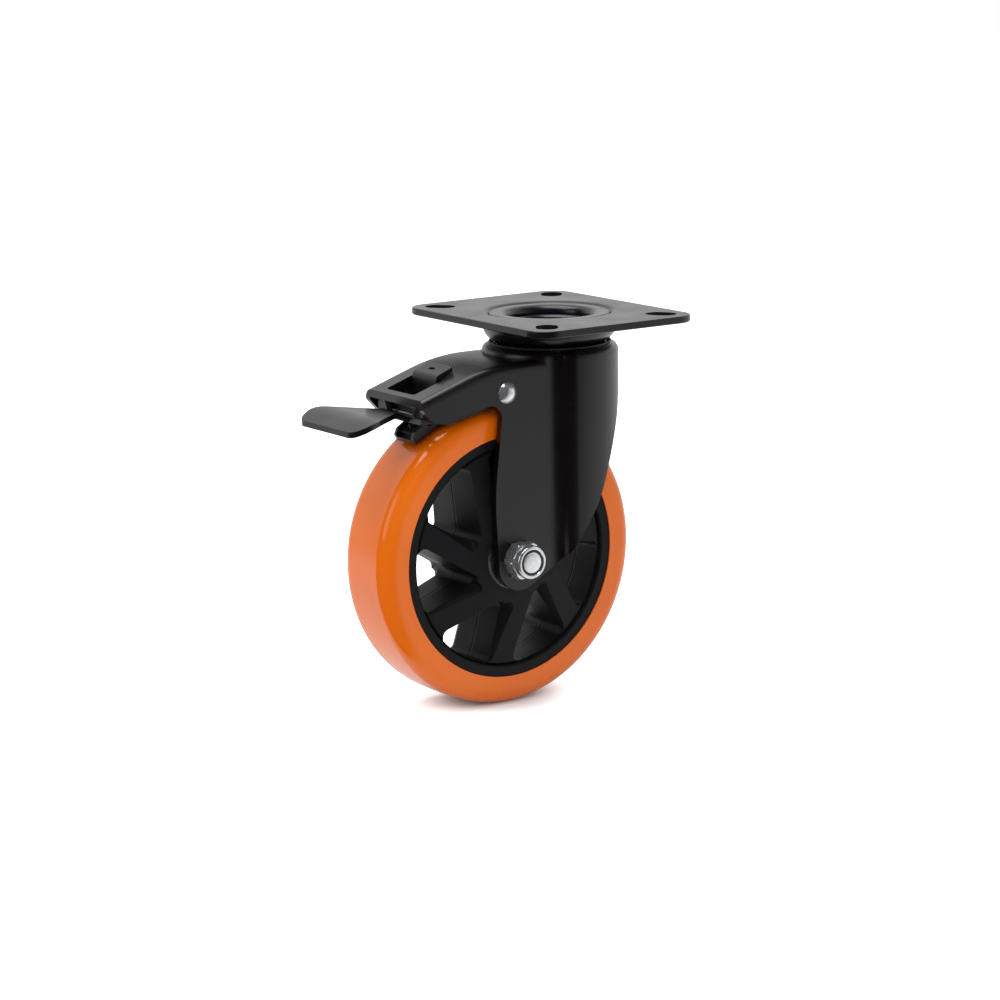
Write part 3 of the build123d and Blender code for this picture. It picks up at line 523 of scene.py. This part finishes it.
# Painted shade: the colour darkens to seam_shade of itself along the seam's crease.
seam_painted_shade = fade(rim_tree, seam_rise, (0.0, 1.0), (seam_shade, 1.0), "LINEAR")
seam_shaded_colour = add_node(rim_tree, "VectorMath", "SCALE")
wire(rim_tree, rim_tree.nodes["Color Ramp"].outputs["Color"], seam_shaded_colour.inputs[0])
wire(rim_tree, seam_painted_shade, seam_shaded_colour.inputs["Scale"])
wire(rim_tree, seam_shaded_colour.outputs["Vector"], shader_input(rim_plastic, "Base Color"))
dress(rim_plastic, "wheel_rim")


# ---- Tyre ----
# Polyurethane, cast round the rim and bonded to it: a hard, glossy orange that light enters
# a little way. Its sides are bare and smooth.

tyre_orange = (0.71, 0.129, 0.001)
tyre_orange_pale = (0.77, 0.153, 0.003)
tyre_roughness = (0.13, 0.19)
tyre_cloud_scale = 22.0
tyre_gloss = 0.5
tyre_ripple_scale = 260.0
tyre_ripple_height = 0.00001
tyre_clear_share = 0.12
tyre_clear_depth = (0.0016, 0.0006, 0.0002)

tyre_rubber = clouded_finish(
    "cast_orange_tread", tyre_cloud_scale, (tyre_orange, tyre_orange_pale), tyre_roughness
)
dimple(tyre_rubber, grain(tyre_rubber, tyre_ripple_scale), tyre_ripple_height)
shader_input(tyre_rubber, "Specular IOR Level").default_value = tyre_gloss
shader_input(tyre_rubber, "Subsurface Weight").default_value = tyre_clear_share
shader_input(tyre_rubber, "Subsurface Radius").default_value = tyre_clear_depth
dress(tyre_rubber, "tyre")


# ---- Bearings, sleeve and spacers ----
# Two ball bearings of ground steel are pressed into the hub and closed by black shields.
# A plain tube keeps them apart, and two short ones keep the pedal off the hood's walls.

# Their steel is written far darker than bright ground steel: painted shade for the hub and hood
# they sit in.
ring_steel_shaded = (0.15, 0.152, 0.155)
ring_steel_shaded_pale = (0.21, 0.212, 0.215)
ring_roughness = (0.26, 0.38)
ring_mark_scale = 1200.0

ring_steel = clouded_finish(
    "shaded_ground_ring_steel", ring_mark_scale, (ring_steel_shaded, ring_steel_shaded_pale),
    ring_roughness, metallic=1.0,
)
dress(
    ring_steel,
    "bearing_inner_near", "bearing_inner_far", "bearing_outer_near", "bearing_outer_far",
    "spacer_sleeve", "pivot_spacer_near", "pivot_spacer_far",
)
dress(seal_rubber, "bearing_shield_near", "bearing_shield_far")


# ---- Axle bolt, lock nut and pivot rivet ----
# Cold-headed steel with bright zinc plating, finely clouded, which smears the light a little.
# The lock nut's collar is rolled over a dark nylon ring that grips the bolt's domed tip.

zinc_cloud = (0.68, 0.70, 0.73)
zinc_bright = (0.84, 0.86, 0.88)
zinc_roughness = (0.18, 0.28)
zinc_metal = 0.9
zinc_cloud_scale = 700.0
zinc_cloud_detail = 5.0
zinc_grain_scale = 1800.0
zinc_grain_height = 0.000002
nylon_black = (0.008, 0.0085, 0.0095)
nylon_black_pale = (0.014, 0.015, 0.017)
nylon_roughness = (0.42, 0.58)
nylon_cloud_scale = 900.0
nut_across_flats = 0.0143
nut_outline_mm = (
    (5.05, 0.0), (7.2, 0.0), (8.3, 0.55), (8.3, 5.3), (7.75, 5.95), (7.1, 6.3), (6.95, 6.5),
    (6.95, 8.5), (6.86, 9.0), (6.62, 9.4), (6.25, 9.64), (5.85, 9.7), (5.5, 9.62), (5.34, 9.4),
    (5.34, 8.6), (5.05, 8.6),
)
ring_outline_mm = (
    (4.35, 9.36), (5.02, 8.7), (5.32, 8.7), (5.32, 9.32), (4.8, 9.42), (4.4, 9.42),
)
tip_outline_mm = (
    (0.0, 9.4), (4.18, 9.4), (4.1, 9.54), (3.6, 9.68), (2.7, 9.78), (1.4, 9.84), (0.0, 9.86),
)
nut_low, nut_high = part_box("axle_nut")
nut_foot = Vector(((nut_low[0] + nut_high[0]) / 2, nut_high[1], (nut_low[2] + nut_high[2]) / 2))
nut_along = Vector((0, -1, 0))

zinc = clouded_finish(
    "bright_zinc", zinc_cloud_scale, (zinc_cloud, zinc_bright), zinc_roughness,
    metallic=zinc_metal, detail=zinc_cloud_detail,
)
dimple(zinc, grain(zinc, zinc_grain_scale), zinc_grain_height)
dress(zinc, "axle_bolt", "pivot_rivet")
lock_nut = turned_piece(
    "lock_nut", nut_outline_mm, nut_foot, nut_along, zinc, "swivel_fork",
    nut_across_flats,
)
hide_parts("axle_nut")

nut_nylon = clouded_finish(
    "dark_nut_nylon", nylon_cloud_scale, (nylon_black, nylon_black_pale), nylon_roughness
)
lock_ring = turned_piece(
    "lock_ring", ring_outline_mm, nut_foot, nut_along, nut_nylon, "swivel_fork"
)
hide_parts("nut_insert")
turned_piece("bolt_tip", tip_outline_mm, nut_foot, nut_along, zinc, "swivel_fork")


# ---- Brake pedal, arm and shoe ----
# A wide pad on a narrow neck, pressed in thinner sheet and painted more matt than the fork.
# It turns on the pivot rivet, and a dark spring brings it back.
# Its pin presses the arm, a strip hooked in the hood's window that carries the shoe.

pedal_black = (0.0022, 0.0021, 0.0022)
pedal_black_thin = (0.0042, 0.0041, 0.0042)
pedal_roughness = (0.32, 0.42)
pedal_patch_scale = 48.0
spring_steel_dark = (0.028, 0.028, 0.030)
spring_steel_bright = (0.050, 0.050, 0.052)
spring_roughness = (0.35, 0.5)
spring_mark_scale = 1500.0

pedal_paint = clouded_finish(
    "satin_black_pedal", pedal_patch_scale, (pedal_black, pedal_black_thin), pedal_roughness
)
dimple(pedal_paint, grain(pedal_paint, paint_dimple_scale), paint_dimple_height)
dress(pedal_paint, "brake_pedal", "brake_arm", "brake_shoe", "shoe_rivet")

spring_steel = clouded_finish(
    "dark_spring_steel", spring_mark_scale, (spring_steel_dark, spring_steel_bright),
    spring_roughness, metallic=1.0,
)
dress(spring_steel, "return_spring", "push_pin")
